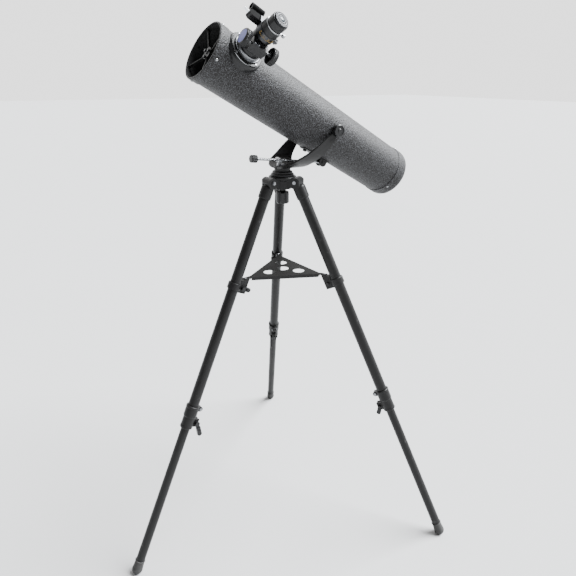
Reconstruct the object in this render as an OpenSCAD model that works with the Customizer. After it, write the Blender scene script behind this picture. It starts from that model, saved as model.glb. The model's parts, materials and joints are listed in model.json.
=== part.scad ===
// Newtonian reflector telescope on a yoke mount and an aluminium field tripod.
// Millimetres, +Z up. The floor is z = 0 and the origin is the middle of the whole footprint.
// The optical tube points along +X at rest; one tripod leg stands almost under it.

/* [Tripod] */
// Height of the leg hinges above the floor
hinge_height = 1030; // [980:10:1080]
// Radius of the circle through the three feet
foot_circle_r = 505; // [470:5:540]
// Radius of the circle through the three leg hinges
hinge_circle_r = 42; // [40:1:44]
// Turn of the tripod under the mount
tripod_turn = 5; // [0:1:10]
// Outer diameter of an upper leg tube
upper_leg_d = 29; // [28:0.5:30]
// Outer diameter of a lower leg tube
lower_leg_d = 24; // [23:0.5:25]
// Distance of the tray clamp from the hinge, along the leg
clamp_at = 290; // [270:5:310]
// Distance of the extension collar from the hinge, along the leg
collar_at = 633; // [600:5:660]

/* [Accessory tray] */
// Height of the tray plate above the floor
tray_height = 779; // [770:1:790]
// Reach of a tray corner from the tripod axis
tray_corner_r = 131; // [128:1:134]
// Diameter of the four eyepiece holes
tray_hole_d = 32.4; // [31.9:0.1:33]
// Radius of the circle through the three outer holes
tray_hole_circle_r = 47.5; // [44:0.5:50]

/* [Mount] */
// Height of the altitude axis above the floor
pivot_height = 1162; // [1150:1:1175]
// Distance of the altitude axis behind the azimuth axis
pivot_back = 121; // [115:1:125]
// Altitude of the optical tube at rest, in degrees
rest_altitude = 29.5; // [25:0.5:32]
// Thickness of the yoke plate
yoke_t = 6; // [5:0.5:7]
// Diameter of the slow motion rod
rod_d = 7; // [6:0.5:8]

/* [Optical tube] */
// Outer diameter of the main tube
tube_d = 140; // [138:0.5:142]
// Wall of the main tube
tube_wall = 1.6; // [1.2:0.1:2]
// Length of the tube in front of the altitude axis
tube_front = 380; // [360:5:400]
// Length of the tube behind the altitude axis
tube_rear = 303; // [290:1:310]
// Diameter of the primary mirror
mirror_d = 114; // [100:1:116]

/* [Focuser] */
// Distance of the focuser axis in front of the altitude axis
focuser_at = 310.5; // [300:0.5:320]
// Roll of the focuser from the top of the tube towards +Y, in degrees
focuser_roll = 57; // [45:1:65]
// Outer diameter of the draw tube
draw_tube_d = 42; // [40:0.5:42]
// Diameter of the two focus knobs
focus_knob_d = 39; // [36:0.5:40]

/* [Hidden] */
$fn = 64;

// Place of the tripod axis in the footprint, so that the origin is its middle.
axis_x = -51.2;
axis_y = 22;

// Colours
black_metal = "#26272a";
black_plastic = "#1b1b1d";
charcoal = "#3a3b3f";
grey_metal = "#85878c";
bright_metal = "#c9ccd1";
rubber_black = "#151516";

// Gaps
running_gap = 0.06;
joint_gap = 0.3;

// Number of flats on the large circles of the optical tube
big_fn = 180;

// Tripod: each leg frame has +Z down the leg and +X towards the tripod axis.
foot_ball_r = 14.5;
foot_ball_z = 12.5;
leg_run = foot_circle_r - hinge_circle_r;
leg_drop = hinge_height - foot_ball_z;
leg_len = sqrt(leg_run * leg_run + leg_drop * leg_drop);
leg_tilt = atan(leg_run / leg_drop);
leg_wall = 1.5;
upper_leg_r = upper_leg_d / 2;
upper_leg_bore_r = upper_leg_r - leg_wall;
lower_leg_r = lower_leg_d / 2;
upper_leg_start = 17;
upper_leg_end = collar_at + 29;
lower_leg_start = collar_at - 75;
sleeve_end = 46;
hinge_bolt_r = 3;
clevis_w = 36;
tongue_w = 12;
tray_t = 1.5;
rivet_r = 1.8;
rivet_at = tray_corner_r - 5;
collar_mid = collar_at + 30;
collar_end = collar_at + 64;
clamp_bolt_x = 27.5;
lever_bolt_x = 24;
collar_bolt_x = 22.5;
ear_bolt_r = 2.5;
ear_t = 5;
ear_gap = 4;

// Hub and azimuth bearing
hub_top = hinge_height + 14;
hub_bottom = hinge_height - 20;
center_bolt_r = 6;
turntable_bottom = hub_top + joint_gap;
yoke_base_z = hinge_height + 34.5;
azimuth_knob_top = hub_bottom - 0.5;
azimuth_knob_h = 40;
center_bolt_end = azimuth_knob_top - azimuth_knob_h + 6;

// Yoke: one wide strip, flat under the tube and bent up on each side into a swept-back arm.
// Distances s run along the strip's middle surface from the foot's centre line.
arm_y = 76.4;
yoke_foot_half = 10;
yoke_bend_r = arm_y - yoke_foot_half;
yoke_foot_z = yoke_base_z + yoke_t / 2;
yoke_bend_end = yoke_foot_half + yoke_bend_r * PI / 2;
yoke_end = yoke_bend_end + pivot_height - yoke_foot_z - yoke_bend_r;
yoke_steps = 24;
boss_r = 15;
pivot_bolt_r = 4;

// Slow motion rod, in the vertical plane of the tube
post_x = 13;
rod_end_x = -126.5;
rod_end_z = pivot_height - 92.5;
rod_slope = 6.75;
// The rod's pin in the tube's frame, at the altitude the model stands at
rod_pin_x = rod_end_x + pivot_back;
rod_pin_z = rod_end_z - pivot_height;
rod_pin_u = rod_pin_x * cos(rest_altitude) + rod_pin_z * sin(rest_altitude);
rod_pin_n = rod_pin_z * cos(rest_altitude) - rod_pin_x * sin(rest_altitude);
rod_len = 222;
rod_r = rod_d / 2;
post_dist = (post_x - rod_end_x) / cos(rod_slope);
post_z = rod_end_z + post_dist * sin(rod_slope);

// Optical tube: a frame with +X along the tube and the altitude axis at its origin.
tube_r = tube_d / 2;
tube_in_r = tube_r - tube_wall;
ring_r = tube_r + 1.6;
cap_r = tube_r + 1.8;
ring_start = tube_front - 25.5;
cap_start = -tube_rear + 40.5;
mirror_z = -tube_rear + 25;
screw_roll = 104.5;
cap_screw_roll = 131.5;

// Focuser: a frame with +Z along the draw tube, away from the main tube's axis, and +X forward.
draw_r = draw_tube_d / 2;
draw_bore_r = 17;
base_top = 73;
flange_top = 76;
body_top = 108;
pinion_y = 25;
pinion_z = 119;
pinion_pitch_r = 4;
pinion_teeth = 10;
rack_pitch = 2 * PI * pinion_pitch_r / pinion_teeth;
housing_bottom = 103;
housing_top = 127.5;
housing_y = 34;
holder_bottom = 153;
holder_top = 169;
knob_inner = 31;
knob_outer = 45;

module in_frame() {
    translate([axis_x, axis_y, 0]) children();
}

module leg_frame(i) {
    in_frame()
        rotate([0, 0, tripod_turn + 120 * i])
            translate([hinge_circle_r, 0, hinge_height])
                rotate([0, 180 - leg_tilt, 0])
                    children();
}

module tube_frame() {
    in_frame()
        translate([-pivot_back, 0, pivot_height])
            rotate([0, -rest_altitude, 0])
                children();
}

module focuser_frame() {
    tube_frame()
        translate([focuser_at, 0, 0])
            rotate([-focuser_roll, 0, 0])
                children();
}

module rod_frame() {
    in_frame()
        translate([rod_end_x, 0, rod_end_z])
            rotate([0, 90 - rod_slope, 0])
                children();
}

module tube_x(r, x1, x2) {
    flats = r > 30 ? big_fn : $fn;
    translate([x1, 0, 0]) rotate([0, 90, 0]) cylinder(r = r, h = x2 - x1, $fn = flats);
}

module across_y(r, y1, y2) {
    translate([0, y2, 0]) rotate([90, 0, 0]) cylinder(r = r, h = y2 - y1);
}

module box(x1, x2, y1, y2, z1, z2) {
    translate([x1, y1, z1]) cube([x2 - x1, y2 - y1, z2 - z1]);
}

// A turned body from [radius, height] pairs, closed along its axis.
module turned(outline) {
    last = len(outline) - 1;
    rotate_extrude()
        polygon(concat([[0, outline[0][1]]], outline, [[0, outline[last][1]]]));
}

// ---------------------------------------------------------------- tripod

module tripod_hub() {
    color(black_metal)
        in_frame()
            difference() {
                union() {
                    translate([0, 0, hub_bottom])
                        turned([[24, 0], [27, 2], [27, 22], [31, 26], [37, 27.5], [37, 32], [35.5, 34]]);
                    for (i = [0 : 2])
                        rotate([0, 0, tripod_turn + 120 * i]) hub_shoulder();
                }
                translate([0, 0, hub_bottom - 1])
                    cylinder(r = center_bolt_r + running_gap, h = hub_top - hub_bottom + 2);
                for (i = [0 : 2])
                    rotate([0, 0, tripod_turn + 120 * i]) hub_slot();
            }
}

module hub_shoulder() {
    intersection() {
        union() {
            translate([hinge_circle_r, 0, hinge_height - 2]) across_y(15, -clevis_w / 2, clevis_w / 2);
            box(18, hinge_circle_r, -clevis_w / 2, clevis_w / 2, hub_bottom + 6, hinge_height + 9);
        }
        translate([0, 0, hub_bottom]) cylinder(r = 57.5, h = 60);
    }
}

module hub_slot() {
    slot_half = tongue_w / 2 + joint_gap;
    translate([hinge_circle_r, 0, hinge_height]) {
        across_y(9, -slot_half, slot_half);
        rotate([0, 180 - leg_tilt, 0]) box(-7.5, 7.5, -slot_half - 0.1, slot_half + 0.1, 4, 30);
        across_y(hinge_bolt_r, -clevis_w, clevis_w);
        rotate([0, 180 - leg_tilt, 0])
            translate([0, 0, 9.5]) cylinder(r = upper_leg_r + 3, h = 30);
    }
}

// Hinge bolts, the cross bolts of the collars and the rivets of the tray.
module tripod_bolts() {
    color(bright_metal)
        for (i = [0 : 2])
            leg_frame(i) {
                hinge_bolt();
                translate([collar_bolt_x, 0, collar_at + 9]) {
                    across_y(ear_bolt_r, -8, 8);
                    across_y(4.2, 7, 9.5);
                    across_y(4.2, -9.5, -7);
                }
            }
    color(bright_metal)
        in_frame()
            for (i = [0 : 2])
                rotate([0, 0, tripod_turn + 120 * i])
                    translate([rivet_at, 0, tray_height]) {
                        translate([0, 0, -4]) cylinder(r = rivet_r, h = 5);
                        turned([[3.6, 0], [3.4, 0.6], [2, 1.5]]);
                    }
}

module hinge_bolt() {
    across_y(hinge_bolt_r, -clevis_w / 2 - 1, clevis_w / 2 + 6);
    across_y(4.6, -clevis_w / 2 - 3, -clevis_w / 2);
    translate([0, clevis_w / 2, 0])
        rotate([-90, 0, 0]) cylinder(r = 5, h = 4, $fn = 6);
}

module leg_sleeves() {
    color(black_metal)
        for (i = [0 : 2])
            leg_frame(i)
                difference() {
                    union() {
                        translate([0, 0, 10.2])
                            turned([[13, 0], [16.4, 3], [17, 6], [17, sleeve_end - 12.2], [16, sleeve_end - 10.2]]);
                        across_y(8.6, -tongue_w / 2, tongue_w / 2);
                        box(-7, 7, -tongue_w / 2, tongue_w / 2, 1, 12);
                    }
                    across_y(hinge_bolt_r, -20, 20);
                    translate([0, 0, upper_leg_start])
                        cylinder(r = upper_leg_r, h = sleeve_end);
                }
}

module upper_leg(i) {
    color(black_metal)
        leg_frame(i)
            difference() {
                translate([0, 0, upper_leg_start])
                    cylinder(r = upper_leg_r, h = upper_leg_end - upper_leg_start);
                translate([0, 0, upper_leg_start - 1])
                    cylinder(r = upper_leg_bore_r, h = upper_leg_end - upper_leg_start + 2);
            }
}

// The lower tube with the guide bush on its upper end.
module lower_leg(i) {
    color(black_metal)
        leg_frame(i)
            difference() {
                union() {
                    translate([0, 0, lower_leg_start])
                        cylinder(r = lower_leg_r, h = leg_len - lower_leg_start - 4);
                    translate([0, 0, lower_leg_start])
                        cylinder(r = upper_leg_bore_r - running_gap, h = 22);
                }
                translate([0, 0, lower_leg_start - 1])
                    cylinder(r = lower_leg_r - leg_wall, h = leg_len - lower_leg_start + 5);
            }
}

module foot(i) {
    color(rubber_black)
        difference() {
            union() {
                leg_frame(i) translate([0, 0, leg_len]) sphere(r = foot_ball_r);
                leg_frame(i)
                    translate([0, 0, leg_len - 27])
                        turned([[13.2, 0], [14, 1], [13, 3], [13, 10], [13.8, 21]]);
            }
            leg_frame(i)
                translate([0, 0, leg_len - 30]) cylinder(r = lower_leg_r, h = 26);
            in_frame() translate([-700, -700, -50]) cube([1400, 1400, 50]);
        }
}

// Two clamping ears on the side of a band that faces the tripod axis, between z1 and z2.
module ears(reach, z1, z2) {
    for (side = [-1, 1])
        translate([0, side * (ear_gap + ear_t) / 2, 0])
            box(upper_leg_r - 1, reach, -ear_t / 2, ear_t / 2, z1, z2);
}

module tray_clamps() {
    color(black_metal)
        difference() {
            for (i = [0 : 2])
                leg_frame(i) tray_clamp();
            // Level cut in the top of the ears, where the tray's tongue lies.
            in_frame()
                for (i = [0 : 2])
                    rotate([0, 0, tripod_turn + 120 * i])
                        box(90, 141, -15, 15, tray_height - tray_t, tray_height + 40);
        }
}

module tray_clamp() {
    difference() {
        union() {
            translate([0, 0, clamp_at - 9])
                turned([[17.4, 0], [18, 1], [18, 17], [17.4, 18]]);
            ears(clamp_bolt_x + 9, clamp_at - 31, clamp_at + 15);
        }
        translate([0, 0, clamp_at - 40]) cylinder(r = upper_leg_r, h = 80);
        box(upper_leg_r - 3, 20, -ear_gap / 2, ear_gap / 2, clamp_at - 40, clamp_at + 40);
        translate([clamp_bolt_x, 0, clamp_at]) across_y(ear_bolt_r + running_gap, -20, 20);
    }
}

module leg_collars() {
    color(black_metal)
        for (i = [0 : 2])
            leg_frame(i)
                difference() {
                    union() {
                        translate([0, 0, collar_at])
                            turned([[17.6, 0], [18.6, 1.2], [18.6, 5], [18, 6], [18, 29], [17, 31],
                                    [16.4, 32], [16.4, 56], [17, 58], [17, 62.5], [16, 64]]);
                        translate([collar_bolt_x, 0, collar_at + 9]) across_y(6.5, -7, 7);
                        box(upper_leg_r, collar_bolt_x, -7, 7, collar_at + 2.5, collar_at + 15.5);
                        ears(lever_bolt_x + 6, collar_at + 38, collar_at + 60);
                    }
                    translate([0, 0, collar_at - 1]) cylinder(r = upper_leg_r, h = 30);
                    translate([0, 0, collar_at + 20])
                        cylinder(r = lower_leg_r + running_gap, h = 60);
                    box(lower_leg_r - 3, 20, -ear_gap / 2, ear_gap / 2, collar_at + 33, collar_at + 70);
                    translate([lever_bolt_x, 0, collar_at + 49])
                        across_y(ear_bolt_r + running_gap, -20, 20);
                    translate([collar_bolt_x, 0, collar_at + 9]) across_y(ear_bolt_r, -20, 20);
                }
}

// Wing screw that pulls the two ears of a tray clamp together.
module tray_knob(i) {
    color(black_plastic)
        leg_frame(i)
            translate([clamp_bolt_x, 0, clamp_at]) {
                across_y(ear_bolt_r, -11, 12);
                across_y(4.6, -11.5, -7.3);
                across_y(6, 7.3, 17);
                difference() {
                    rotate([90, 0, 0])
                        translate([0, 0, -21])
                            linear_extrude(height = 9) wing_outline(13.5, 6);
                    across_y(3, 18, 30);
                }
            }
}

module wing_outline(reach, waist) {
    union() {
        circle(r = waist);
        for (s = [-1, 1]) {
            translate([s * (reach - 6), 0]) circle(r = 6);
            polygon([[0, -waist], [s * (reach - 6), -6], [s * (reach - 6), 6], [0, waist]]);
        }
    }
}

// Flip lever that closes the lower stage of a collar on the lower leg tube.
module leg_lever(i) {
    color(black_plastic)
        leg_frame(i)
            translate([lever_bolt_x, 0, collar_at + 49]) {
                across_y(ear_bolt_r, -12, 12);
                across_y(4.4, -11.5, -7.3);
                across_y(6.5, 7.3, 15);
                rotate([0, 32, 0])
                    difference() {
                        union() {
                            box(-5, 5, 8, 13, 0, 24);
                            box(-6, 6, 9, 15, 12, 33);
                            translate([0, 0, 33]) across_y(6.4, 9, 15);
                        }
                        translate([0, 0, 20]) across_y(2.2, 13, 20);
                    }
            }
}

// Triangular plate with folded edges, four holes and a tongue to each clamp.
module accessory_tray() {
    underside = tray_height - tray_t;
    color(black_metal)
        in_frame()
            rotate([0, 0, tripod_turn])
                difference() {
                    union() {
                        translate([0, 0, underside])
                            linear_extrude(height = tray_t) tray_outline(0);
                        translate([0, 0, tray_height - 9])
                            linear_extrude(height = 8)
                                difference() {
                                    tray_outline(0);
                                    tray_outline(tray_t);
                                }
                        for (i = [0 : 2])
                            rotate([0, 0, 120 * i])
                                box(105, tray_corner_r, -7, 7, underside, tray_height);
                    }
                    translate([0, 0, tray_height - 10]) cylinder(d = tray_hole_d, h = 20);
                    for (i = [0 : 2])
                        rotate([0, 0, 120 * i]) {
                            translate([tray_hole_circle_r, 0, tray_height - 10])
                                cylinder(d = tray_hole_d, h = 20);
                            translate([rivet_at, 0, tray_height - 10])
                                cylinder(r = rivet_r, h = 20);
                            box(109, 140, -30, 30, tray_height - 12, underside);
                        }
                }
}

module tray_outline(inset) {
    r = 118 - 2 * inset;
    intersection() {
        polygon([for (i = [0 : 2]) [r * cos(120 * i), r * sin(120 * i)]]);
        circle(r = 112 - inset, $fn = 96);
    }
}

// Lobed knob under the hub that locks the azimuth bearing.
module azimuth_knob() {
    color(black_plastic)
        in_frame()
            translate([0, 0, azimuth_knob_top - azimuth_knob_h])
                difference() {
                    turned([[15.5, 0], [18, 2.5], [18, 29], [16, 32], [10, 33.5], [9.2, 35], [9.2, azimuth_knob_h]]);
                    translate([0, 0, -1]) cylinder(r = center_bolt_r + running_gap, h = 60);
                    for (k = [0 : 5])
                        rotate([0, 0, 60 * k + 30])
                            translate([21.5, 0, -2]) cylinder(r = 6, h = 50);
                    translate([0, 0, -1]) cylinder(r = 10, h = 4);
                }
}

// ---------------------------------------------------------------- mount

module turntable() {
    color(black_metal)
        in_frame()
            translate([0, 0, turntable_bottom])
                difference() {
                    turned([[30, 0], [31, 1], [31, 5], [29.5, 6.5], [27, 7], [27, 11], [25.5, 12.5],
                            [22, 13], [21.5, 13.5], [21.5, yoke_base_z - turntable_bottom]]);
                    translate([0, 0, -1]) cylinder(r = center_bolt_r, h = 60);
                }
}

module center_bolt() {
    color(bright_metal)
        in_frame() {
            translate([0, 0, center_bolt_end])
                cylinder(r = center_bolt_r, h = yoke_base_z + yoke_t - center_bolt_end + 1);
            translate([0, 0, yoke_base_z + yoke_t + 0.4]) cylinder(r = 7.5, h = 4);
        }
}

// Edges of the strip: each runs straight over the foot, curves, then slants back to the tip.
function swept(x, s, from, to, slope) =
    let (d = abs(s),
         curve = max(0, min(d, to) - from),
         straight = max(0, d - to))
    x - slope * curve * curve / (2 * (to - from)) - slope * straight;

function yoke_front(s) = swept(22, s, 28, 62, 1.4);
function yoke_rear(s) = swept(-48, s, 10, 70, 0.84);

// Bend at distance s, in degrees: 0 on the foot, 90 on an arm.
function yoke_turn(s) = min(90, max(0, (abs(s) - yoke_foot_half) / yoke_bend_r * 180 / PI));

// One corner of the strip's section; face is -1 on the inside of the bend and 1 outside.
function yoke_corner(s, x, face) =
    let (b = yoke_turn(s),
         side = s < 0 ? -1 : 1,
         n = face * yoke_t / 2)
    [x,
     side * (min(abs(s), yoke_foot_half) + yoke_bend_r * sin(b) + n * sin(b)),
     yoke_foot_z + yoke_bend_r * (1 - cos(b)) + max(0, abs(s) - yoke_bend_end) - n * cos(b)];

function yoke_ring(s) =
    [yoke_corner(s, yoke_rear(s), -1), yoke_corner(s, yoke_front(s), -1),
     yoke_corner(s, yoke_front(s), 1), yoke_corner(s, yoke_rear(s), 1)];

// Both arms and the foot are one bent plate.
module yoke_plate() {
    rings = [for (k = [-yoke_steps : yoke_steps]) yoke_ring(yoke_end * k / yoke_steps)];
    n = len(rings);
    polyhedron(
        points = [for (ring = rings) for (p = ring) p],
        faces = concat(
            [[0, 1, 2], [0, 2, 3]],
            [for (k = [0 : n - 2]) for (j = [0 : 3])
                let (a = 4 * k + j, b = 4 * k + (j + 1) % 4)
                for (f = [[a, a + 4, b + 4], [a, b + 4, b]]) f],
            [[4 * n - 1, 4 * n - 2, 4 * n - 3], [4 * n - 1, 4 * n - 3, 4 * n - 4]]));
}

module yoke() {
    color(black_metal)
        in_frame()
            difference() {
                union() {
                    yoke_plate();
                    translate([0, 0, yoke_base_z]) cylinder(r = 23.5, h = yoke_t + 0.4);
                    for (s = [-1, 1])
                        translate([-pivot_back, s * arm_y, pivot_height])
                            across_y(boss_r, -yoke_t / 2 - 0.5, yoke_t / 2 + 0.5);
                }
                translate([-pivot_back, 0, pivot_height])
                    across_y(pivot_bolt_r + running_gap, -100, 100);
                translate([0, 0, yoke_base_z - 1]) cylinder(r = center_bolt_r, h = 20);
                translate([post_x, 0, yoke_base_z - 1]) cylinder(r = 2.5, h = 20);
            }
}

// Post on the yoke's foot that carries the slow motion rod.
module rod_post() {
    color(bright_metal)
        in_frame()
            difference() {
                union() {
                    translate([post_x, 0, yoke_base_z + 1]) cylinder(r = 2.5, h = 8);
                    translate([post_x, 0, yoke_base_z + yoke_t + 0.4])
                        turned([[5, 0], [5, 1.5], [3.6, 3], [3.6, post_z - yoke_base_z - yoke_t - 0.4]]);
                    translate([post_x, 0, post_z]) across_y(7, -6.5, 6.5);
                }
                translate([post_x, 0, post_z])
                    rotate([0, 90 - rod_slope, 0])
                        translate([0, 0, -20]) cylinder(r = rod_r + running_gap, h = 40);
                translate([post_x, 0, post_z]) across_y(2 + running_gap, 0, 20);
            }
}

// Thumb screw in the post's head.
module rod_lock_screw() {
    color(bright_metal)
        in_frame()
            translate([post_x, 0, post_z]) {
                across_y(2, rod_r + running_gap, 8);
                translate([0, 6.9, 0])
                    rotate([-90, 0, 0])
                        turned([[5, 0], [6.5, 1], [6.5, 6], [5.5, 7], [3, 7.4]]);
            }
}

module slow_rod() {
    color(bright_metal)
        rod_frame() {
            difference() {
                union() {
                    translate([0, 0, 4]) cylinder(r = rod_r, h = rod_len - 4);
                    translate([0, 0, -3]) turned([[3.6, 0], [4.6, 1], [4.6, 9.5], [3.6, 10.5]]);
                }
                across_y(2.4, -10, 10);
            }
            across_y(2.4, -6, 6);
        }
}

module slow_rod_knob() {
    color(black_plastic)
        rod_frame()
            translate([0, 0, rod_len - 18])
                difference() {
                    turned([[4.8, 0], [4.8, 1], [9, 1.2], [10, 2.2], [10, 17], [9, 18.5], [0.5, 18.8]]);
                    translate([0, 0, -1]) cylinder(r = rod_r + running_gap, h = 19.2);
                    for (k = [0 : 17])
                        rotate([0, 0, 20 * k])
                            translate([10.4, 0, 3]) cylinder(r = 1, h = 13);
                }
}

// side = 1 is the +Y knob, side = -1 the -Y knob.
module altitude_knob(side) {
    knob_y = arm_y + yoke_t / 2 + 0.5 + joint_gap;
    color(black_plastic)
        tube_frame()
            rotate([-90 * side, 0, 0]) {
                translate([0, 0, tube_r - 4])
                    cylinder(r = pivot_bolt_r, h = knob_y - tube_r + 6);
                translate([0, 0, knob_y])
                    difference() {
                        turned([[9, 0], [9, 1], [15, 1.6], [16, 2.6], [16, 8], [14.5, 9.6]]);
                        translate([0, 0, 8.6]) cylinder(r = 11.5, h = 4);
                        for (k = [0 : 11])
                            rotate([0, 0, 30 * k + 15])
                                translate([16.8, 0, -2]) cylinder(r = 1.6, h = 20);
                    }
                translate([0, 0, knob_y + 8])
                    turned([[5.5, 0], [5.5, 1.4], [4.5, 2.2]]);
            }
}

module both_sides() {
    children();
    mirror([0, 1, 0]) children();
}

// ---------------------------------------------------------------- optical tube

module main_tube() {
    color(charcoal)
        difference() {
            tube_frame()
                difference() {
                    tube_x(tube_r, cap_start - 14, tube_front - 3.5);
                    tube_x(tube_in_r, cap_start - 20, tube_front);
                    for (k = [0 : 3])
                        rotate([-screw_roll - 90 * k, 0, 0])
                            translate([tube_front - 13, 0, 0]) cylinder(r = 1.6, h = 100);
                    for (k = [0 : 2])
                        rotate([-cap_screw_roll - 120 * k, 0, 0])
                            translate([cap_start - 8, 0, 0]) cylinder(r = 1.6, h = 100);
                    across_y(pivot_bolt_r + 0.3, -100, 100);
                }
            focuser_frame() cylinder(r = 25, h = 100);
        }
}

module front_ring() {
    color(charcoal)
        tube_frame()
            difference() {
                rotate([0, 90, 0])
                    translate([0, 0, ring_start])
                        turned([[ring_r - 0.8, 0], [ring_r, 1], [ring_r, 23], [ring_r - 0.8, 24.7],
                                [ring_r - 2.2, 25.5]], $fn = big_fn);
                tube_x(tube_r, ring_start - 1, tube_front - 3.5);
                tube_x(tube_in_r - 1.4, ring_start, tube_front + 1);
                for (k = [0 : 3])
                    rotate([-screw_roll - 90 * k, 0, 0])
                        translate([tube_front - 13, 0, 0]) cylinder(r = 1.6, h = 100);
            }
}

// Screws of the front ring, the rear cap and the focuser's flange.
module tube_screws() {
    color(bright_metal) {
        tube_frame() {
            for (k = [0 : 3])
                rotate([-screw_roll - 90 * k, 0, 0])
                    translate([tube_front - 13, 0, 0]) ring_screw(ring_r);
            for (k = [0 : 2])
                rotate([-cap_screw_roll - 120 * k, 0, 0])
                    translate([cap_start - 8, 0, 0]) ring_screw(cap_r);
        }
        focuser_frame()
            for (k = [0 : 3])
                rotate([0, 0, 45 + 90 * k])
                    translate([38, 0, 0]) {
                        translate([0, 0, base_top]) cylinder(r = 1.5, h = 4);
                        translate([0, 0, flange_top]) turned([[2.6, 0], [2.6, 0.5], [1.4, 1.4]]);
                    }
    }
}

module ring_screw(r) {
    translate([0, 0, r - 6]) cylinder(r = 1.6, h = 6.1);
    translate([0, 0, r + 0.05]) turned([[3.2, 0], [3.2, 0.5], [2.4, 1.5], [1, 1.9]]);
}

// Rear cap with the inner flange that the mirror cell's screws pass through.
module rear_cap() {
    color(charcoal)
        tube_frame()
            difference() {
                rotate([0, 90, 0])
                    translate([0, 0, -tube_rear])
                        turned([[58, 0], [63, 0.7], [66.5, 2.8], [69.2, 6], [70.8, 10],
                                [cap_r, 15], [cap_r, 39], [cap_r - 0.8, 40.5]], $fn = big_fn);
                tube_x(tube_r, cap_start - 14, 0);
                tube_x(tube_in_r - 2, -tube_rear + 13, 0);
                tube_x(57, -tube_rear - 1, -tube_rear + 9);
                tube_x(20, -tube_rear - 1, -tube_rear + 20);
                for (k = [0 : 2])
                    rotate([-120 * k, 0, 0])
                        translate([0, 0, 45]) tube_x(2.6, -tube_rear, -tube_rear + 30);
                for (k = [0 : 2])
                    rotate([-cap_screw_roll - 120 * k, 0, 0])
                        translate([cap_start - 8, 0, 0]) cylinder(r = 1.6, h = 100);
            }
}

// Threaded bosses in the tube's sides that take the altitude bolts.
module side_bosses() {
    color(black_metal)
        tube_frame()
            both_sides()
                difference() {
                    across_y(11, tube_r - 1, arm_y - yoke_t / 2 - 0.5 - joint_gap);
                    tube_x(tube_r, -20, 20);
                    across_y(pivot_bolt_r + running_gap, 50, 90);
                }
}

// Strap under the tube with two cheeks; the end of the slow motion rod moves between them.
module rod_bracket() {
    color(black_metal)
        tube_frame() {
            difference() {
                intersection() {
                    tube_x(tube_r + 2.5, -66, 26);
                    box(-66, 26, -14, 14, -90, -50);
                }
                tube_x(tube_r, -70, 30);
                box(-70, -40, -6.3, 6.3, -80, -60);
            }
            for (s = [-1, 1])
                translate([0, s * 8.5, 0]) bracket_cheek(s);
            translate([16, 0, -tube_r - 6.5]) cylinder(r = 5, h = 6);
        }
}

module bracket_cheek(s) {
    difference() {
        union() {
            translate([rod_pin_u, 0, rod_pin_n]) across_y(12, -1.5, 1.5);
            box(rod_pin_u - 12, rod_pin_u + 12, -1.5, 1.5, rod_pin_n, -tube_r - 1.5);
        }
        tube_x(tube_r + 1, -90, 0);
    }
    translate([rod_pin_u, s * 2, rod_pin_n]) across_y(4.2, -1.5, 1.5);
}

// Plate that carries the primary mirror on three pads.
module mirror_cell() {
    color(black_metal)
        tube_frame()
            difference() {
                union() {
                    tube_x(60, -tube_rear + 17.5, -tube_rear + 21);
                    for (k = [0 : 2])
                        rotate([-60 - 120 * k, 0, 0])
                            translate([0, 0, 40]) tube_x(6, -tube_rear + 20, mirror_z);
                }
                tube_x(18, -tube_rear, 0);
                for (k = [0 : 2])
                    rotate([-120 * k, 0, 0])
                        translate([0, 0, 45]) tube_x(2.5, -tube_rear, -tube_rear + 30);
            }
}

module cell_screws() {
    color(bright_metal)
        tube_frame()
            for (k = [0 : 2])
                rotate([-120 * k, 0, 0])
                    translate([0, 0, 45]) {
                        tube_x(2.5, -tube_rear + 6, -tube_rear + 20.5);
                        tube_x(6, -tube_rear + 3, -tube_rear + 9);
                    }
}

module cell_springs() {
    color(grey_metal)
        tube_frame()
            for (k = [0 : 2])
                rotate([-120 * k, 0, 0])
                    translate([0, 0, 45])
                        difference() {
                            tube_x(5, -tube_rear + 13, -tube_rear + 17.5);
                            tube_x(3.6, -tube_rear + 12, -tube_rear + 19);
                        }
}

// Mirror disc with a hollow front face of 1400 mm radius.
module primary_mirror() {
    r = mirror_d / 2;
    steps = 12;
    sag = 1400 - sqrt(1400 * 1400 - r * r);
    color(bright_metal)
        tube_frame()
            translate([mirror_z, 0, 0])
                rotate([0, 90, 0])
                    rotate_extrude($fn = big_fn)
                        polygon(concat(
                            [[0, 0], [r, 0]],
                            [for (k = [steps : -1 : 0])
                                let (q = r * k / steps)
                                [q, 14 - sag + 1400 - sqrt(1400 * 1400 - q * q)]]));
}

module mirror_clips() {
    color(black_metal)
        tube_frame()
            for (k = [0 : 2])
                rotate([-60 - 120 * k, 0, 0])
                    difference() {
                        box(-tube_rear + 21, mirror_z + 16.5, -5, 5, 52, 59.5);
                        tube_x(mirror_d / 2, -tube_rear, mirror_z + 14);
                    }
}

// Four vanes that dish back from the front ring to the hub.
module spider() {
    vane_dish = atan(9 / 52);
    color(black_metal)
        tube_frame() {
            difference() {
                tube_x(15, tube_front - 22, tube_front - 12);
                tube_x(3, 0, tube_front);
                for (k = [0 : 2])
                    rotate([-60 - 120 * k, 0, 0])
                        translate([0, 0, 10]) tube_x(2, 0, tube_front);
            }
            for (k = [0 : 3])
                rotate([-focuser_roll - 90 * k, 0, 0])
                    intersection() {
                        translate([tube_front - 14, 0, 13])
                            rotate([0, vane_dish, 0]) box(-6, 0, -1.2, 1.2, -1, 60);
                        difference() {
                            tube_x(tube_in_r, 0, tube_front);
                            tube_x(13, 0, tube_front);
                        }
                    }
        }
}

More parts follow.
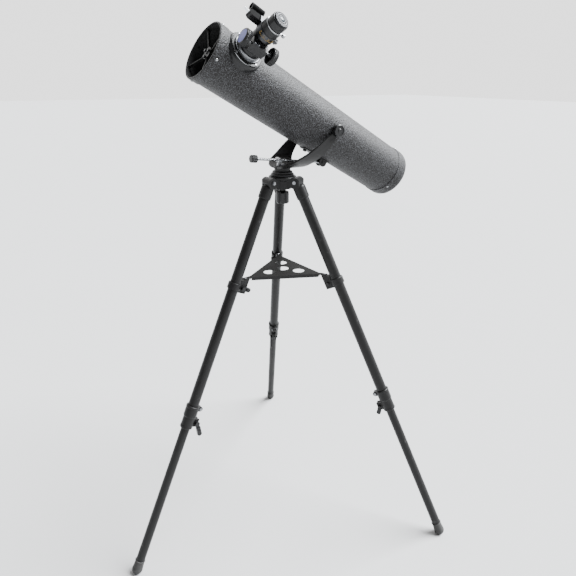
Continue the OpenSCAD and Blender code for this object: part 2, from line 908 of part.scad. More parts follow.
module secondary_holder() {
    color(black_plastic)
        tube_frame() {
            tube_x(3, tube_front - 40, tube_front - 10);
            for (k = [0 : 2])
                rotate([-60 - 120 * k, 0, 0])
                    translate([0, 0, 10]) {
                        tube_x(2, tube_front - 30, tube_front - 9);
                        tube_x(3.4, tube_front - 12, tube_front - 7.5);
                    }
            intersection() {
                tube_x(13.5, focuser_at - 13, tube_front - 28);
                rotate([-focuser_roll, 0, 0])
                    translate([focuser_at, 0, 0])
                        rotate([0, 45, 0]) box(4.2, 100, -30, 30, -100, 100);
            }
        }
}

module secondary_mirror() {
    color(bright_metal)
        tube_frame()
            intersection() {
                tube_x(13.3, focuser_at - 25, focuser_at + 30);
                rotate([-focuser_roll, 0, 0])
                    translate([focuser_at, 0, 0])
                        rotate([0, 45, 0]) box(0, 4.1, -30, 30, -100, 100);
            }
}

// ---------------------------------------------------------------- focuser

// Saddle that fits the tube's curve, under the bright flange.
module focuser_base() {
    color(black_plastic)
        difference() {
            focuser_frame()
                difference() {
                    translate([0, 0, 40])
                        turned([[46.5, 0], [46.5, 25], [45.5, 29], [42.5, base_top - 40]]);
                    cylinder(r = 24, h = 100);
                }
            tube_frame() tube_x(tube_r, 200, 400);
        }
}

module focuser_flange() {
    color(bright_metal)
        focuser_frame()
            difference() {
                translate([0, 0, base_top])
                    turned([[41.2, 0], [41.8, 0.6], [41.8, 2.2], [41, flange_top - base_top]]);
                cylinder(r = 24, h = 100);
                for (k = [0 : 3])
                    rotate([0, 0, 45 + 90 * k])
                        translate([38, 0, 60]) cylinder(r = 1.5, h = 30);
            }
}

module focuser_body() {
    color(black_plastic)
        focuser_frame()
            difference() {
                union() {
                    translate([0, 0, flange_top])
                        turned([[35, 0], [35, 3], [33.5, 4], [32, 4.2], [32, 9], [30.5, 10.5], [28.5, 11],
                                [28.5, 18], [27, 20], [25.5, 20.5], [25.5, body_top - flange_top]]);
                    box(-20, 20, 12, housing_y, housing_bottom, housing_top);
                }
                translate([0, 0, 60]) cylinder(r = draw_r + running_gap, h = 100);
                translate([0, pinion_y, pinion_z]) tube_x(2.5 + running_gap, -30, 30);
                translate([0, pinion_y, pinion_z]) tube_x(5.4, -8.4, 8.4);
                box(-8.4, 8.4, 15, pinion_y, pinion_z - 5.4, pinion_z + 5.4);
            }
}

// Draw tube with the rack let into its +Y side.
module draw_tube() {
    bottom = 60;
    color(black_plastic)
        focuser_frame()
            difference() {
                translate([0, 0, bottom]) cylinder(r = draw_r, h = holder_bottom - bottom);
                translate([0, 0, bottom - 1]) cylinder(r = draw_bore_r, h = 100);
                for (k = [0 : 24])
                    translate([0, draw_r, pinion_z + (k - 17) * rack_pitch])
                        rotate([0, 90, 0])
                            translate([0, 0, -8])
                                linear_extrude(height = 16)
                                    polygon([[-0.95, 1], [-0.55, -2.1], [0.55, -2.1], [0.95, 1]]);
            }
}

module focus_pinion() {
    color(bright_metal)
        focuser_frame()
            translate([0, pinion_y, pinion_z]) {
                tube_x(2.5, -knob_outer + 1, knob_outer - 1);
                rotate([0, 90, 0])
                    translate([0, 0, -7.5])
                        linear_extrude(height = 15)
                            union() {
                                circle(r = 2.9);
                                for (k = [0 : pinion_teeth - 1])
                                    rotate(360 / pinion_teeth * k + 90)
                                        polygon([[2, -0.85], [4.6, -0.28], [4.6, 0.28], [2, 0.85]]);
                            }
            }
}

// Two cup-shaped knobs, open towards the rack housing, with a recess for the inlay on each end.
module focus_knobs() {
    color(black_plastic)
        focuser_frame()
            translate([0, pinion_y, pinion_z])
                for (s = [0, 180])
                    rotate([0, 0, s])
                        rotate([0, 90, 0])
                            translate([0, 0, knob_inner])
                                difference() {
                                    turned([[focus_knob_d / 2 - 0.8, 0], [focus_knob_d / 2, 0.8],
                                            [focus_knob_d / 2, 12], [focus_knob_d / 2 - 2, 14]]);
                                    difference() {
                                        translate([0, 0, -1]) cylinder(r = focus_knob_d / 2 - 2.2, h = 11);
                                        translate([0, 0, -1]) cylinder(r = 6, h = 12);
                                    }
                                    translate([0, 0, 13.2]) cylinder(r = 15.5, h = 2);
                                    translate([0, 0, -1]) cylinder(r = 2.5, h = 14);
                                }
}

module knob_inlays() {
    color("#2f6fd0")
        focuser_frame()
            translate([0, pinion_y, pinion_z])
                for (s = [0, 180])
                    rotate([0, 0, s])
                        rotate([0, 90, 0])
                            translate([0, 0, knob_inner + 13.2])
                                turned([[15.5, 0], [15.5, 0.7], [14.8, 1], [6, 1.3]]);
}

module eyepiece_holder() {
    color(black_plastic)
        focuser_frame()
            difference() {
                union() {
                    translate([0, 0, holder_bottom])
                        turned([[21.6, 0], [22.5, 1], [22.5, 14.6], [21.6, holder_top - holder_bottom]]);
                    translate([0, 0, holder_bottom - 12]) cylinder(r = draw_bore_r, h = 13);
                }
                cylinder(r = 15.95, h = 300);
                translate([0, 0, 162]) rotate([0, -90, 0]) cylinder(r = 1.5 + running_gap, h = 30);
            }
}

module holder_screw() {
    color(bright_metal)
        focuser_frame()
            translate([0, 0, 162])
                rotate([0, -90, 0]) {
                    translate([0, 0, 16]) cylinder(r = 1.5, h = 12);
                    translate([0, 0, 23.4])
                        turned([[2.2, 0], [2.2, 3.6], [4, 4.6], [4.4, 5.6], [4.4, 10], [3.6, 11]]);
                }
}

// Eyepiece core: nosepiece in the holder, shoulder, and the lens cell on top.
module eyepiece() {
    color(bright_metal)
        focuser_frame()
            difference() {
                union() {
                    translate([0, 0, 136]) cylinder(r = 15.85, h = holder_top - 136);
                    translate([0, 0, holder_top]) turned([[21.4, 0], [22, 0.6], [22, 2.4], [21.4, 3]]);
                    translate([0, 0, holder_top + 3]) cylinder(r = 12, h = 23);
                }
                translate([0, 0, 130]) cylinder(r = 13.5, h = 30);
                translate([0, 0, 193.4]) cylinder(r = 7, h = 10);
            }
}

module zoom_ring() {
    color(black_plastic)
        focuser_frame()
            difference() {
                translate([0, 0, holder_top + 3 + joint_gap])
                    turned([[19.5, 0], [20.5, 0.8], [20.5, 16.5], [19.2, 18], [18.4, 18.2],
                            [18.4, 20.6], [17, 22.2]]);
                translate([0, 0, 160]) cylinder(r = 12 + running_gap, h = 60);
            }
}

// Clamp ring on the draw tube, with its clamp block and the arm to the finder.
module finder_bracket() {
    color(grey_metal)
        focuser_frame()
            difference() {
                union() {
                    translate([0, 0, 134])
                        turned([[22.8, 0], [23.5, 0.8], [23.5, 18.2], [22.8, 19]]);
                    box(9, 19, -34, -19, 140, 145);
                    rotate([0, 0, 152]) {
                        box(20, 28.5, -5, 5, 142, 151.5);
                        translate([0, 0, 146.7]) tube_x(3.2, 28, 31);
                    }
                }
                translate([0, 0, 100]) cylinder(r = draw_r, h = 100);
            }
}

// Reflex finder: a battery housing with round ends and the sight tube beside it.
module reflex_finder() {
    color(black_plastic)
        focuser_frame() {
            difference() {
                union() {
                    for (x = [16, 38])
                        translate([x, -32, 124]) cylinder(r = 8, h = 16);
                    box(16, 38, -40, -24, 124, 140);
                }
                finder_window_plate();
            }
            translate([0, -54.5, 133.5])
                difference() {
                    tube_x(8.6, 8, 41);
                    tube_x(6.6, 11, 42);
                }
            box(14, 36, -47.5, -39.5, 130, 136);
            translate([0, -32, 133.5]) tube_x(1.5, 5.4, 10);
        }
}

module finder_window() {
    color("#a9c4dd")
        focuser_frame() finder_window_plate();
}

module finder_window_plate() {
    translate([43, -32, 132])
        rotate([0, 0, -24]) box(0, 15, -0.7, 0.7, -3.5, 3.5);
}

// Switch wheel on the rear end of the finder.
module finder_dial() {
    color(black_plastic)
        focuser_frame()
            translate([8 - joint_gap, -32, 133.5])
                rotate([0, -90, 0])
                    difference() {
                        turned([[4.2, 0], [4.8, 0.6], [4.8, 2.4], [4.2, 3]]);
                        translate([0, 0, -1]) cylinder(r = 1.5 + running_gap, h = 3.4);
                    }
}

tripod_hub();
tripod_bolts();
leg_sleeves();
upper_leg(0);  // upper_leg_a
upper_leg(1);  // upper_leg_b
upper_leg(2);  // upper_leg_c
lower_leg(0);  // lower_leg_a
lower_leg(1);  // lower_leg_b
lower_leg(2);  // lower_leg_c
foot(0);  // foot_a
foot(1);  // foot_b
foot(2);  // foot_c
tray_clamps();
leg_collars();
tray_knob(0);  // tray_knob_a
tray_knob(1);  // tray_knob_b
tray_knob(2);  // tray_knob_c
leg_lever(0);  // leg_lever_a
leg_lever(1);  // leg_lever_b
leg_lever(2);  // leg_lever_c
accessory_tray();
azimuth_knob();
turntable();
center_bolt();
yoke();
rod_post();
rod_lock_screw();
slow_rod();
slow_rod_knob();
altitude_knob(1);  // altitude_knob_left
altitude_knob(-1);  // altitude_knob_right
main_tube();
front_ring();
rear_cap();
tube_screws();
side_bosses();
rod_bracket();
mirror_cell();
primary_mirror();
mirror_clips();
cell_screws();
cell_springs();
spider();
secondary_holder();
secondary_mirror();
focuser_base();
focuser_flange();
focuser_body();
draw_tube();
focus_pinion();
focus_knobs();
knob_inlays();
eyepiece_holder();
holder_screw();
eyepiece();
zoom_ring();
finder_bracket();
reflex_finder();
finder_window();
finder_dial();
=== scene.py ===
"""Looks for the newtonian reflector telescope: materials, small detail, light and camera."""

import json
import math

import bmesh
import bpy
from mathutils import Matrix, Vector


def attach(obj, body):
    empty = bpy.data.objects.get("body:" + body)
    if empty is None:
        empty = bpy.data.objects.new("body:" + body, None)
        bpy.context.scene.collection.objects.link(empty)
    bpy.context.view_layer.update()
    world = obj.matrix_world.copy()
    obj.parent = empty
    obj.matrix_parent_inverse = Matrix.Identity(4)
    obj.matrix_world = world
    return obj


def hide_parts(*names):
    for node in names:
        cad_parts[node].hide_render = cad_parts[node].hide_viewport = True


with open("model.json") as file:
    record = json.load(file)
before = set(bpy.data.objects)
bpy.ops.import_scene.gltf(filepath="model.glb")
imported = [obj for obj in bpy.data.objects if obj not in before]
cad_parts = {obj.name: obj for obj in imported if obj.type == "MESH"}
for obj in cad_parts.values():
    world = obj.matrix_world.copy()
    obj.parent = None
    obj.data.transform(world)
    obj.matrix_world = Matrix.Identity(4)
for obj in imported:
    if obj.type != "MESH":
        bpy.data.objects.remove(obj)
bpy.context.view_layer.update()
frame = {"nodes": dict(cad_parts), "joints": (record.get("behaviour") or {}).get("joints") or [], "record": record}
nodes = frame["nodes"]


# ---------------------------------------------------------------- node tree helpers

def new_material(name):
    """A material with its node tree and its Principled shader."""
    mat = bpy.data.materials.new(name)
    mat.use_nodes = True
    return mat, mat.node_tree, mat.node_tree.nodes["Principled BSDF"]


def add(tree, kind, **values):
    """A shader node with its plain settings and unlinked inputs set."""
    node = tree.nodes.new(kind)
    for key, value in values.items():
        if hasattr(node, key):
            setattr(node, key, value)
        else:
            node.inputs[key.replace("_", " ")].default_value = value
    return node


def noise(tree, scale, detail=4.0, roughness=0.6):
    """Cloudy noise in object space."""
    coords = add(tree, "ShaderNodeTexCoord")
    tex = add(tree, "ShaderNodeTexNoise", Scale=scale, Detail=detail, Roughness=roughness)
    tree.links.new(coords.outputs["Object"], tex.inputs["Vector"])
    return tex.outputs["Fac"]


def cells(tree, scale, smooth):
    """Distance from the middle of rounded cells in object space."""
    coords = add(tree, "ShaderNodeTexCoord")
    tex = add(tree, "ShaderNodeTexVoronoi", feature="SMOOTH_F1", Scale=scale, Smoothness=smooth)
    tree.links.new(coords.outputs["Object"], tex.inputs["Vector"])
    return tex.outputs["Distance"]


def spread(tree, value, low, high, start=0.3, end=0.7):
    """Maps a value on to low..high as it goes from start to end, and holds it beyond them."""
    node = add(tree, "ShaderNodeMapRange")
    node.inputs["From Min"].default_value = start
    node.inputs["From Max"].default_value = end
    node.inputs["To Min"].default_value = low
    node.inputs["To Max"].default_value = high
    tree.links.new(value, node.inputs["Value"])
    return node.outputs["Result"]


def blend_colours(tree, factor, dark, light):
    """Mixes from dark to light as factor goes from 0 to 1."""
    mix = add(tree, "ShaderNodeMix", data_type="RGBA")
    mix.inputs["A"].default_value = (*dark, 1)
    mix.inputs["B"].default_value = (*light, 1)
    tree.links.new(factor, mix.inputs["Factor"])
    return mix.outputs["Result"]


def bump(tree, height, distance, strength, under=None):
    """Raises the surface by height, on top of another bump where under is given."""
    node = add(tree, "ShaderNodeBump", Strength=strength, Distance=distance)
    tree.links.new(height, node.inputs["Height"])
    if under is not None:
        tree.links.new(under, node.inputs["Normal"])
    return node.outputs["Normal"]


def finish_surface(tree, shader, colour, rough, normal):
    tree.links.new(colour, shader.inputs["Base Color"])
    tree.links.new(rough, shader.inputs["Roughness"])
    tree.links.new(normal, shader.inputs["Normal"])


# ---------------------------------------------------------------- materials
# Each maker takes the darker and the lighter colour, then the lowest and the highest roughness.
# hammered_enamel, powder_coat and moulded_plastic also take a specular level.

def hammered_enamel(name, dark, light, low, high, specular):
    """Enamel with small dimples and a fine light fleck."""
    mat, tree, shader = new_material(name)
    dimples = cells(tree, 370, 0.3)
    flecks = cells(tree, 520, 0.2)
    cloud = noise(tree, 7)
    grains = spread(tree, flecks, 1, 0, 0.12, 0.46)
    colour = blend_colours(tree, grains, dark, light)
    rough = spread(tree, cloud, low, high)
    fine = bump(tree, flecks, 0.0003, 0.8)
    normal = bump(tree, dimples, 0.0009, 0.8, fine)
    finish_surface(tree, shader, colour, rough, normal)
    shader.inputs["Specular IOR Level"].default_value = specular
    return mat


def powder_coat(name, dark, light, low, high, specular=0.35):
    """Sprayed coat with orange peel, cloudy gloss and a few pale rubbed spots."""
    mat, tree, shader = new_material(name)
    grain = noise(tree, 900, 2)
    cloud = noise(tree, 14)
    rubs = spread(tree, noise(tree, 55, 6, 0.75), 0, 1, 0.62, 0.72)
    coat = blend_colours(tree, cloud, dark, light)
    worn = add(tree, "ShaderNodeMix", data_type="RGBA")
    tree.links.new(rubs, worn.inputs["Factor"])
    tree.links.new(coat, worn.inputs["A"])
    worn.inputs["B"].default_value = (*[3.0 * c + 0.01 for c in light], 1)
    rough = spread(tree, cloud, low, high)
    normal = bump(tree, grain, 0.00012, 0.5)
    finish_surface(tree, shader, worn.outputs["Result"], rough, normal)
    shader.inputs["Specular IOR Level"].default_value = specular
    return mat


def moulded_plastic(name, dark, light, low, high, specular=0.3):
    """Fine-grained moulded plastic, slightly cloudy in colour and gloss."""
    mat, tree, shader = new_material(name)
    grain = noise(tree, 1600, 2)
    cloud = noise(tree, 30)
    colour = blend_colours(tree, cloud, dark, light)
    rough = spread(tree, cloud, low, high)
    normal = bump(tree, grain, 0.00006, 0.5)
    finish_surface(tree, shader, colour, rough, normal)
    shader.inputs["Specular IOR Level"].default_value = specular
    return mat


def metal(name, dark, light, low, high):
    """Bare metal, slightly cloudy in colour and uneven in polish."""
    mat, tree, shader = new_material(name)
    polish = noise(tree, 260, 3)
    cloud = noise(tree, 40)
    colour = blend_colours(tree, cloud, dark, light)
    rough = spread(tree, polish, low, high)
    normal = bump(tree, polish, 0.00003, 0.4)
    finish_surface(tree, shader, colour, rough, normal)
    shader.inputs["Metallic"].default_value = 1.0
    return mat


def clear_plastic(name, dark, light, low, high):
    """See-through plastic with a faint haze."""
    mat, tree, shader = new_material(name)
    haze = noise(tree, 60)
    colour = blend_colours(tree, haze, dark, light)
    rough = spread(tree, haze, low, high)
    normal = bump(tree, haze, 0.00002, 0.2)
    finish_surface(tree, shader, colour, rough, normal)
    shader.inputs["Alpha"].default_value = 0.35
    shader.inputs["IOR"].default_value = 1.49
    return mat


def metallic_enamel(name, dark, light, low, high):
    """Metallic enamel with a fine grain that breaks up its highlight."""
    mat, tree, shader = new_material(name)
    grain = noise(tree, 900, 1)
    cloud = noise(tree, 60)
    colour = blend_colours(tree, cloud, dark, light)
    rough = spread(tree, cloud, low, high)
    normal = bump(tree, grain, 0.00002, 0.3)
    finish_surface(tree, shader, colour, rough, normal)
    shader.inputs["Metallic"].default_value = 0.85
    return mat


FINISHES = {
    "black_satin": (powder_coat, (0.0050, 0.0048, 0.0048), (0.0090, 0.0088, 0.0088),
                    0.36, 0.46, 0.2),
    "hammered_charcoal": (hammered_enamel, (0.0068, 0.0062, 0.0058), (0.118, 0.121, 0.131),
                          0.48, 0.56, 0.22),
    "black_plastic": (moulded_plastic, (0.0036, 0.0036, 0.004), (0.0065, 0.0065, 0.007),
                      0.28, 0.40),
    "bright_steel": (metal, (0.22, 0.225, 0.235), (0.34, 0.345, 0.355), 0.16, 0.28),
    "satin_steel": (metal, (0.17, 0.175, 0.185), (0.26, 0.265, 0.275), 0.28, 0.42),
    # Chrome for the tops of the eyepiece and its zoom ring, darkened nearly to black: painted shade that keeps the
    # sun's bright reflection off those tops.
    "shade_painted_chrome": (metal, (0.020, 0.0205, 0.022), (0.034, 0.0345, 0.036), 0.26, 0.40),
    "grey_enamel": (metallic_enamel, (0.035, 0.036, 0.039), (0.06, 0.061, 0.065), 0.26, 0.38),
    "rubber": (moulded_plastic, (0.020, 0.020, 0.020), (0.034, 0.033, 0.032), 0.5, 0.65),
    "matt_plastic": (moulded_plastic, (0.002, 0.002, 0.002), (0.004, 0.004, 0.004),
                     0.55, 0.7, 0.02),
    "worn_matt": (powder_coat, (0.0035, 0.0034, 0.0033), (0.007, 0.0068, 0.0066), 0.55, 0.7, 0.08),
    "blue_plastic": (moulded_plastic, (0.085, 0.095, 0.27), (0.11, 0.12, 0.32), 0.30, 0.42),
    "clear_plastic": (clear_plastic, (0.80, 0.88, 0.94), (0.9, 0.95, 1.0), 0.03, 0.08),
    "front_mirror": (metal, (0.90, 0.91, 0.92), (0.93, 0.94, 0.95), 0.01, 0.03),
    "flat_black": (powder_coat, (0.004, 0.004, 0.004), (0.008, 0.008, 0.008), 0.75, 0.9),
    "coated_glass": (moulded_plastic, (0.004, 0.010, 0.012), (0.010, 0.020, 0.028), 0.03, 0.06),
    "gilt_paint": (powder_coat, (0.26, 0.165, 0.045), (0.33, 0.22, 0.07), 0.4, 0.5),
}

materials = {name: make(name, *values) for name, (make, *values) in FINISHES.items()}
for part in frame["record"]["subparts"]:
    node = nodes[part["node"]]
    if not node.material_slots:
        node.data.materials.append(materials[part["material_slot"]])
    for slot in node.material_slots:
        slot.material = materials[part["material_slot"]]


# ---------------------------------------------------------------- frames taken from the joints

joints = {joint["name"]: joint for joint in frame["joints"]}


def joint_axis(name):
    return Vector(joints[name]["axis"]).normalized()


def joint_place(name):
    return Vector(joints[name]["pos_m"])


def frame_at(place, x_axis, z_axis):
    """A matrix with its origin at place, +Z along z_axis and +X near x_axis."""
    z = z_axis.normalized()
    y = z.cross(x_axis).normalized()
    rows = Matrix((y.cross(z), y, z)).transposed()
    return Matrix.Translation(place) @ rows.to_4x4()


PINION_OUT = 0.119      # the pinion's distance from the tube's axis, along the draw tube
PINION_ASIDE = 0.025    # and sideways from the draw tube's axis

tube_along = -joint_axis("focus_turn")
draw_out = joint_axis("focus_slide")
draw_aside = draw_out.cross(tube_along)
pivot = joint_place("altitude")
focuser_place = joint_place("focus_turn") - draw_out * PINION_OUT - draw_aside * PINION_ASIDE
tube_space = frame_at(pivot, draw_out, tube_along)
focuser_space = frame_at(focuser_place, tube_along, draw_out)
pinion_space = frame_at(joint_place("focus_turn"), draw_out, tube_along)


def reach(node, space):
    """The lowest and the highest height of a CAD node along a space's Z."""
    back = space.inverted()
    heights = [(back @ vertex.co).z for vertex in nodes[node].data.vertices]
    return min(heights), max(heights)


eyepiece_top = reach("eyepiece", focuser_space)[1]
zoom_top = reach("zoom_ring", focuser_space)[1]
housing_foot, housing_top = reach("focuser_body", focuser_space)


def paint(node, material, space, test):
    """Gives a CAD node's faces another material where test(centre, normal) holds in space."""
    mesh = nodes[node].data
    mesh.materials.append(material)
    back = space.inverted()
    turn = back.to_3x3()
    for face in mesh.polygons:
        if test(back @ face.center, turn @ face.normal):
            face.material_index = len(mesh.materials) - 1


def faces_up(centre, normal):
    return normal.z > 0.5


def faces_axis(centre, normal):
    """True on the inside of a tube about Z."""
    return normal.x * centre.x + normal.y * centre.y < -1e-4


def near_eyepiece_top(centre, normal):
    return centre.z > eyepiece_top - 0.005


def near_zoom_top(centre, normal):
    return centre.z > zoom_top - 0.004


def on_collar(centre, normal):
    """True on the wide collar at the foot of the focuser's housing."""
    height = centre.z - housing_foot
    return 0.0035 < height < 0.0105 and math.hypot(centre.x, centre.y) > 0.029


def paint_details():
    """Faces of one CAD node that the real part has in another finish."""
    paint("accessory_tray", materials["worn_matt"], Matrix.Identity(4), faces_up)
    paint("reflex_finder", materials["matt_plastic"], focuser_space, faces_up)
    for node in ("main_tube", "front_ring", "rear_cap"):
        paint(node, materials["flat_black"], tube_space, faces_axis)
    # The tops of the zoom ring and the eyepiece are real chrome rings, painted in chrome darkened nearly to black
    # as painted shade.
    paint("zoom_ring", materials["shade_painted_chrome"], focuser_space, near_zoom_top)
    paint("eyepiece", materials["shade_painted_chrome"], focuser_space, near_eyepiece_top)
    paint("focuser_flange", materials["black_satin"], focuser_space, faces_up)
    paint("focuser_body", materials["satin_steel"], focuser_space, on_collar)


paint_details()


# ---------------------------------------------------------------- pieces

SUNK = 0.0003           # how deep a piece that is set on another reaches into it

LENS_RADIUS = 0.0069
LENS_CROWN = 0.0022     # how far the eye lens bulges above its rim

TICK_DEPTH = 0.0003     # how far a raised tick stands out from its cylinder, and reaches into it

KNOB_RADIUS = 0.0195
KNOB_RIBS = (0.0325, 0.0425)    # where a focus knob's ribs start and end along the pinion
RIB_COUNT = 60

CLAMP_RADIUS = 0.0235   # the clamp ring, which carries the scale
SCALE_FOOT = 0.1425
TALL_TICK, SHORT_TICK = 0.0080, 0.0022
TICK_STEP = 5           # degrees between ticks
SCALE_MIDDLE = 95       # degrees round the draw tube from the side of the tube's mouth

SPRING_COUNT, SPRING_TURNS = 3, 4
SPRING_CIRCLE = 0.045   # from the tube's axis to a spring's
FIRST_SPRING = 57       # degrees round the tube from the focuser
COIL_RADIUS = 0.0043
WIRE_RADIUS = 0.0004
SPRING_INSET = 0.0005   # from each end of the space for the springs to the wire's end


def add_piece(name, bm, space, body, material, smooth=True):
    """Makes a rigid piece from a mesh in the given space, riding on a body."""
    mesh = bpy.data.meshes.new(name)
    bmesh.ops.recalc_face_normals(bm, faces=bm.faces)
    bm.to_mesh(mesh)
    bm.free()
    mesh.transform(space)
    for face in mesh.polygons:
        face.use_smooth = smooth
    mesh.materials.append(material)
    piece = bpy.data.objects.new(name, mesh)
    bpy.context.scene.collection.objects.link(piece)
    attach(piece, body)


def round_point(radius, angle, height):
    """A point at a radius from Z, an angle about it and a height along it."""
    return radius * math.cos(angle), radius * math.sin(angle), height


def lathe(bm, outline, steps=96, closed=False):
    """Turns [radius, height] points about Z, on an outline that is closed or ends on the axis."""
    rings = []
    for radius, height in outline:
        count = steps if radius > 1e-7 else 1
        rings.append([bm.verts.new(round_point(radius, 2 * math.pi * k / steps, height))
                      for k in range(count)])
    after = rings[1:] + rings[:1] if closed else rings[1:]
    for low, high in zip(rings, after):
        for k in range(steps):
            corners = [low[k % len(low)], low[(k + 1) % len(low)],
                       high[(k + 1) % len(high)], high[k % len(high)]]
            bm.faces.new(list(dict.fromkeys(corners)))


def add_eye_lens():
    """The domed eye lens in the eyepiece's recess."""
    foot, rim = eyepiece_top - 0.0014, eyepiece_top - 0.0007
    dome = [(LENS_RADIUS * math.sin(a), rim + LENS_CROWN * math.cos(a))
            for a in [math.pi / 2 * k / 8 for k in range(8, -1, -1)]]
    bm = bmesh.new()
    lathe(bm, [(0, foot), (LENS_RADIUS, foot)] + dome)
    add_piece("eye_lens", bm, focuser_space, "draw", materials["coated_glass"])


def add_eyepiece_rings():
    """Flat black rings, a hair proud, in the bright top of the eyepiece and of its zoom ring."""
    for name, body, inner, outer, top in (
            ("eyepiece_groove", "draw", 0.0088, 0.0112, eyepiece_top),
            ("zoom_groove", "zoom_ring", 0.0142, 0.0159, zoom_top)):
        low, high = top - 0.0004, top + 0.00015
        bm = bmesh.new()
        lathe(bm, [(inner, low), (outer, low), (outer, high), (inner, high)], closed=True)
        add_piece(name, bm, focuser_space, body, materials["flat_black"], False)


def slab(bm, corner, opposite):
    """A box between two opposite corners."""
    x, y, z = zip(corner, opposite)
    verts = [bm.verts.new((x[i], y[j], z[k])) for i in (0, 1) for j in (0, 1) for k in (0, 1)]
    for a, b, c, d in ((0, 1, 3, 2), (4, 6, 7, 5), (0, 4, 5, 1),
                       (2, 3, 7, 6), (0, 2, 6, 4), (1, 5, 7, 3)):
        bm.faces.new((verts[a], verts[b], verts[c], verts[d]))


def add_tension_plate():
    """The small bright plate and its two screws that set the draw tube's tension."""
    side, far_side = 0.0265, 0.0325
    plate_top = housing_top + 0.0012
    bm = bmesh.new()
    slab(bm, (0.002, side, housing_top - SUNK), (0.0185, far_side, plate_top))
    bmesh.ops.bevel(bm, geom=bm.edges, offset=0.0004, segments=2, affect="EDGES")
    add_piece("tension_plate", bm, focuser_space, "tube",
              materials["bright_steel"], False)
    head = [(0, -SUNK), (0.0019, -SUNK), (0.0019, 0.0004), (0.0014, 0.001), (0, 0.0012)]
    for name, along in (("front", 0.015), ("rear", 0.0055)):
        bm = bmesh.new()
        lathe(bm, head, 32)
        place = focuser_space @ Matrix.Translation((along, (side + far_side) / 2, plate_top))
        add_piece("tension_screw_" + name, bm, place, "tube",
                  materials["satin_steel"])


def curved_tick(bm, radius, angle, width, low, high):
    """A raised tick that follows a cylinder about Z, width radians wide."""
    steps = 3
    inner_low, inner_high, outer_low, outer_high = [
        [bm.verts.new(round_point(r, angle + width * (k / steps - 0.5), z))
         for k in range(steps + 1)]
        for r in (radius - TICK_DEPTH, radius + TICK_DEPTH) for z in (low, high)]
    for k in range(steps):
        bm.faces.new((outer_low[k], outer_low[k + 1], outer_high[k + 1], outer_high[k]))
        bm.faces.new((outer_high[k], outer_high[k + 1], inner_high[k + 1], inner_high[k]))
        bm.faces.new((inner_low[k], inner_low[k + 1], outer_low[k + 1], outer_low[k]))
    for k in (0, steps):
        bm.faces.new((inner_low[k], outer_low[k], outer_high[k], inner_high[k]))


def add_scale_ticks():
    """A plain scale of gilt ticks round one side of the clamp ring, two in six of them tall."""
    bm = bmesh.new()
    for k in range(-12, 13):
        height = TALL_TICK if k % 6 in (0, 1) else SHORT_TICK
        angle = math.radians(SCALE_MIDDLE + TICK_STEP * k)
        curved_tick(bm, CLAMP_RADIUS, angle, 0.02, SCALE_FOOT, SCALE_FOOT + height)
    add_piece("scale_ticks", bm, focuser_space, "draw", materials["gilt_paint"])


def add_knob_ribs():
    """Fine grip ribs round both focus knobs."""
    start, end = KNOB_RIBS
    for name, low, high in (("front", start, end), ("rear", -end, -start)):
        bm = bmesh.new()
        for k in range(RIB_COUNT):
            curved_tick(bm, KNOB_RADIUS, 2 * math.pi * k / RIB_COUNT, 0.055, low, high)
        add_piece("knob_ribs_" + name, bm, pinion_space, "focus_pinion",
                  materials["black_plastic"])


def add_springs():
    """The three wire springs behind the mirror cell, in place of the plain sleeves."""
    low, high = reach("cell_springs", tube_space)
    start, end = low + SPRING_INSET, high - SPRING_INSET
    count = SPRING_TURNS * 20
    for k in range(SPRING_COUNT):
        curve = bpy.data.curves.new("cell_spring", "CURVE")
        curve.dimensions = "3D"
        curve.bevel_depth = WIRE_RADIUS
        curve.bevel_resolution = 3
        spline = curve.splines.new("POLY")
        spline.points.add(count)
        roll = math.radians(FIRST_SPRING + 360 / SPRING_COUNT * k)
        foot = Vector(round_point(SPRING_CIRCLE, roll, 0))
        for i in range(count + 1):
            angle = 2 * math.pi * SPRING_TURNS * i / count
            height = start + (end - start) * i / count
            point = tube_space @ (foot + Vector(round_point(COIL_RADIUS, angle, height)))
            spline.points[i].co = (*point, 1)
        curve.materials.append(materials["satin_steel"])
        piece = bpy.data.objects.new("cell_spring_" + str(k + 1), curve)
        bpy.context.scene.collection.objects.link(piece)
        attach(piece, "tube")
        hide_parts("cell_springs")


add_eye_lens()
add_eyepiece_rings()
add_tension_plate()
add_scale_ticks()
add_knob_ribs()
add_springs()


# ---------------------------------------------------------------- floor, light and camera

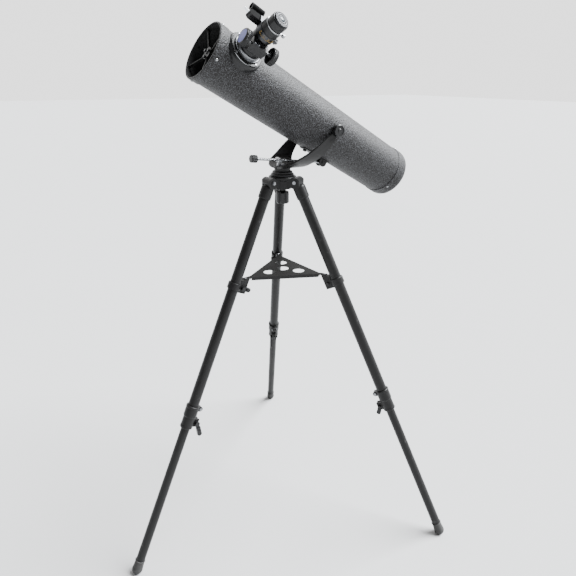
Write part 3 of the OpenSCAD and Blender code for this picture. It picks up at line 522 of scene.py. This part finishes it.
def add_floor():
    """A plain pale floor, wide enough to fill the view."""
    bpy.ops.mesh.primitive_plane_add(size=60)
    floor = bpy.context.object
    floor.name = "floor"
    mat, tree, shader = new_material("floor_paint")
    cloud = noise(tree, 1.5)
    colour = blend_colours(tree, cloud, (0.35, 0.35, 0.35), (0.36, 0.36, 0.36))
    rough = spread(tree, cloud, 0.8, 0.9)
    finish_surface(tree, shader, colour, rough, bump(tree, cloud, 0.0005, 0.1))
    floor.data.materials.append(mat)


def add_camera():
    """Stands ahead of the telescope and to its left, a little below its top, looking down."""
    place = Vector((0.6626, 1.1881, 1.2938))
    look = Vector((-0.52904, -0.78180, -0.33000))
    roll = math.radians(0.466)
    data = bpy.data.cameras.new("camera")
    data.lens = 32.04
    data.sensor_width = 36
    data.shift_x = -0.02957
    data.shift_y = -0.0557
    camera = bpy.data.objects.new("camera", data)
    turn = look.to_track_quat("-Z", "Y").to_matrix()
    turn = turn @ Matrix.Rotation(roll, 3, "Z")
    camera.matrix_world = Matrix.Translation(place) @ turn.to_4x4()
    bpy.context.scene.collection.objects.link(camera)
    bpy.context.scene.camera = camera


def light_world():
    """White light from beyond the telescope, dimmer from the camera's side."""
    brightest_towards = (-0.56, -0.83, 0.0)
    dimmest, brightest = 0.35, 2.2
    world = bpy.data.worlds.new("world")
    world.use_nodes = True
    tree = world.node_tree
    coords = add(tree, "ShaderNodeTexCoord")
    facing = add(tree, "ShaderNodeVectorMath", operation="DOT_PRODUCT")
    facing.inputs[1].default_value = brightest_towards
    tree.links.new(coords.outputs["Generated"], facing.inputs[0])
    strength = spread(tree, facing.outputs["Value"], dimmest, brightest, -0.1, 0.6)
    back = tree.nodes["Background"]
    back.inputs["Color"].default_value = (1, 1, 1, 1)
    tree.links.new(strength, back.inputs["Strength"])
    bpy.context.scene.world = world


def add_sun(name, towards, strength, angle, colour):
    """A sun that shines from the direction towards; its disc is angle degrees across."""
    data = bpy.data.lights.new(name, "SUN")
    data.energy = strength
    data.angle = math.radians(angle)
    data.color = colour
    lamp = bpy.data.objects.new(name, data)
    lamp.rotation_mode = "QUATERNION"
    lamp.rotation_quaternion = Vector(towards).to_track_quat("Z", "Y")
    bpy.context.scene.collection.objects.link(lamp)


add_floor()
light_world()
add_sun("key", (-0.60, 0.24, 0.78), 24.0, 44, (0.95, 0.975, 1.0))
add_camera()
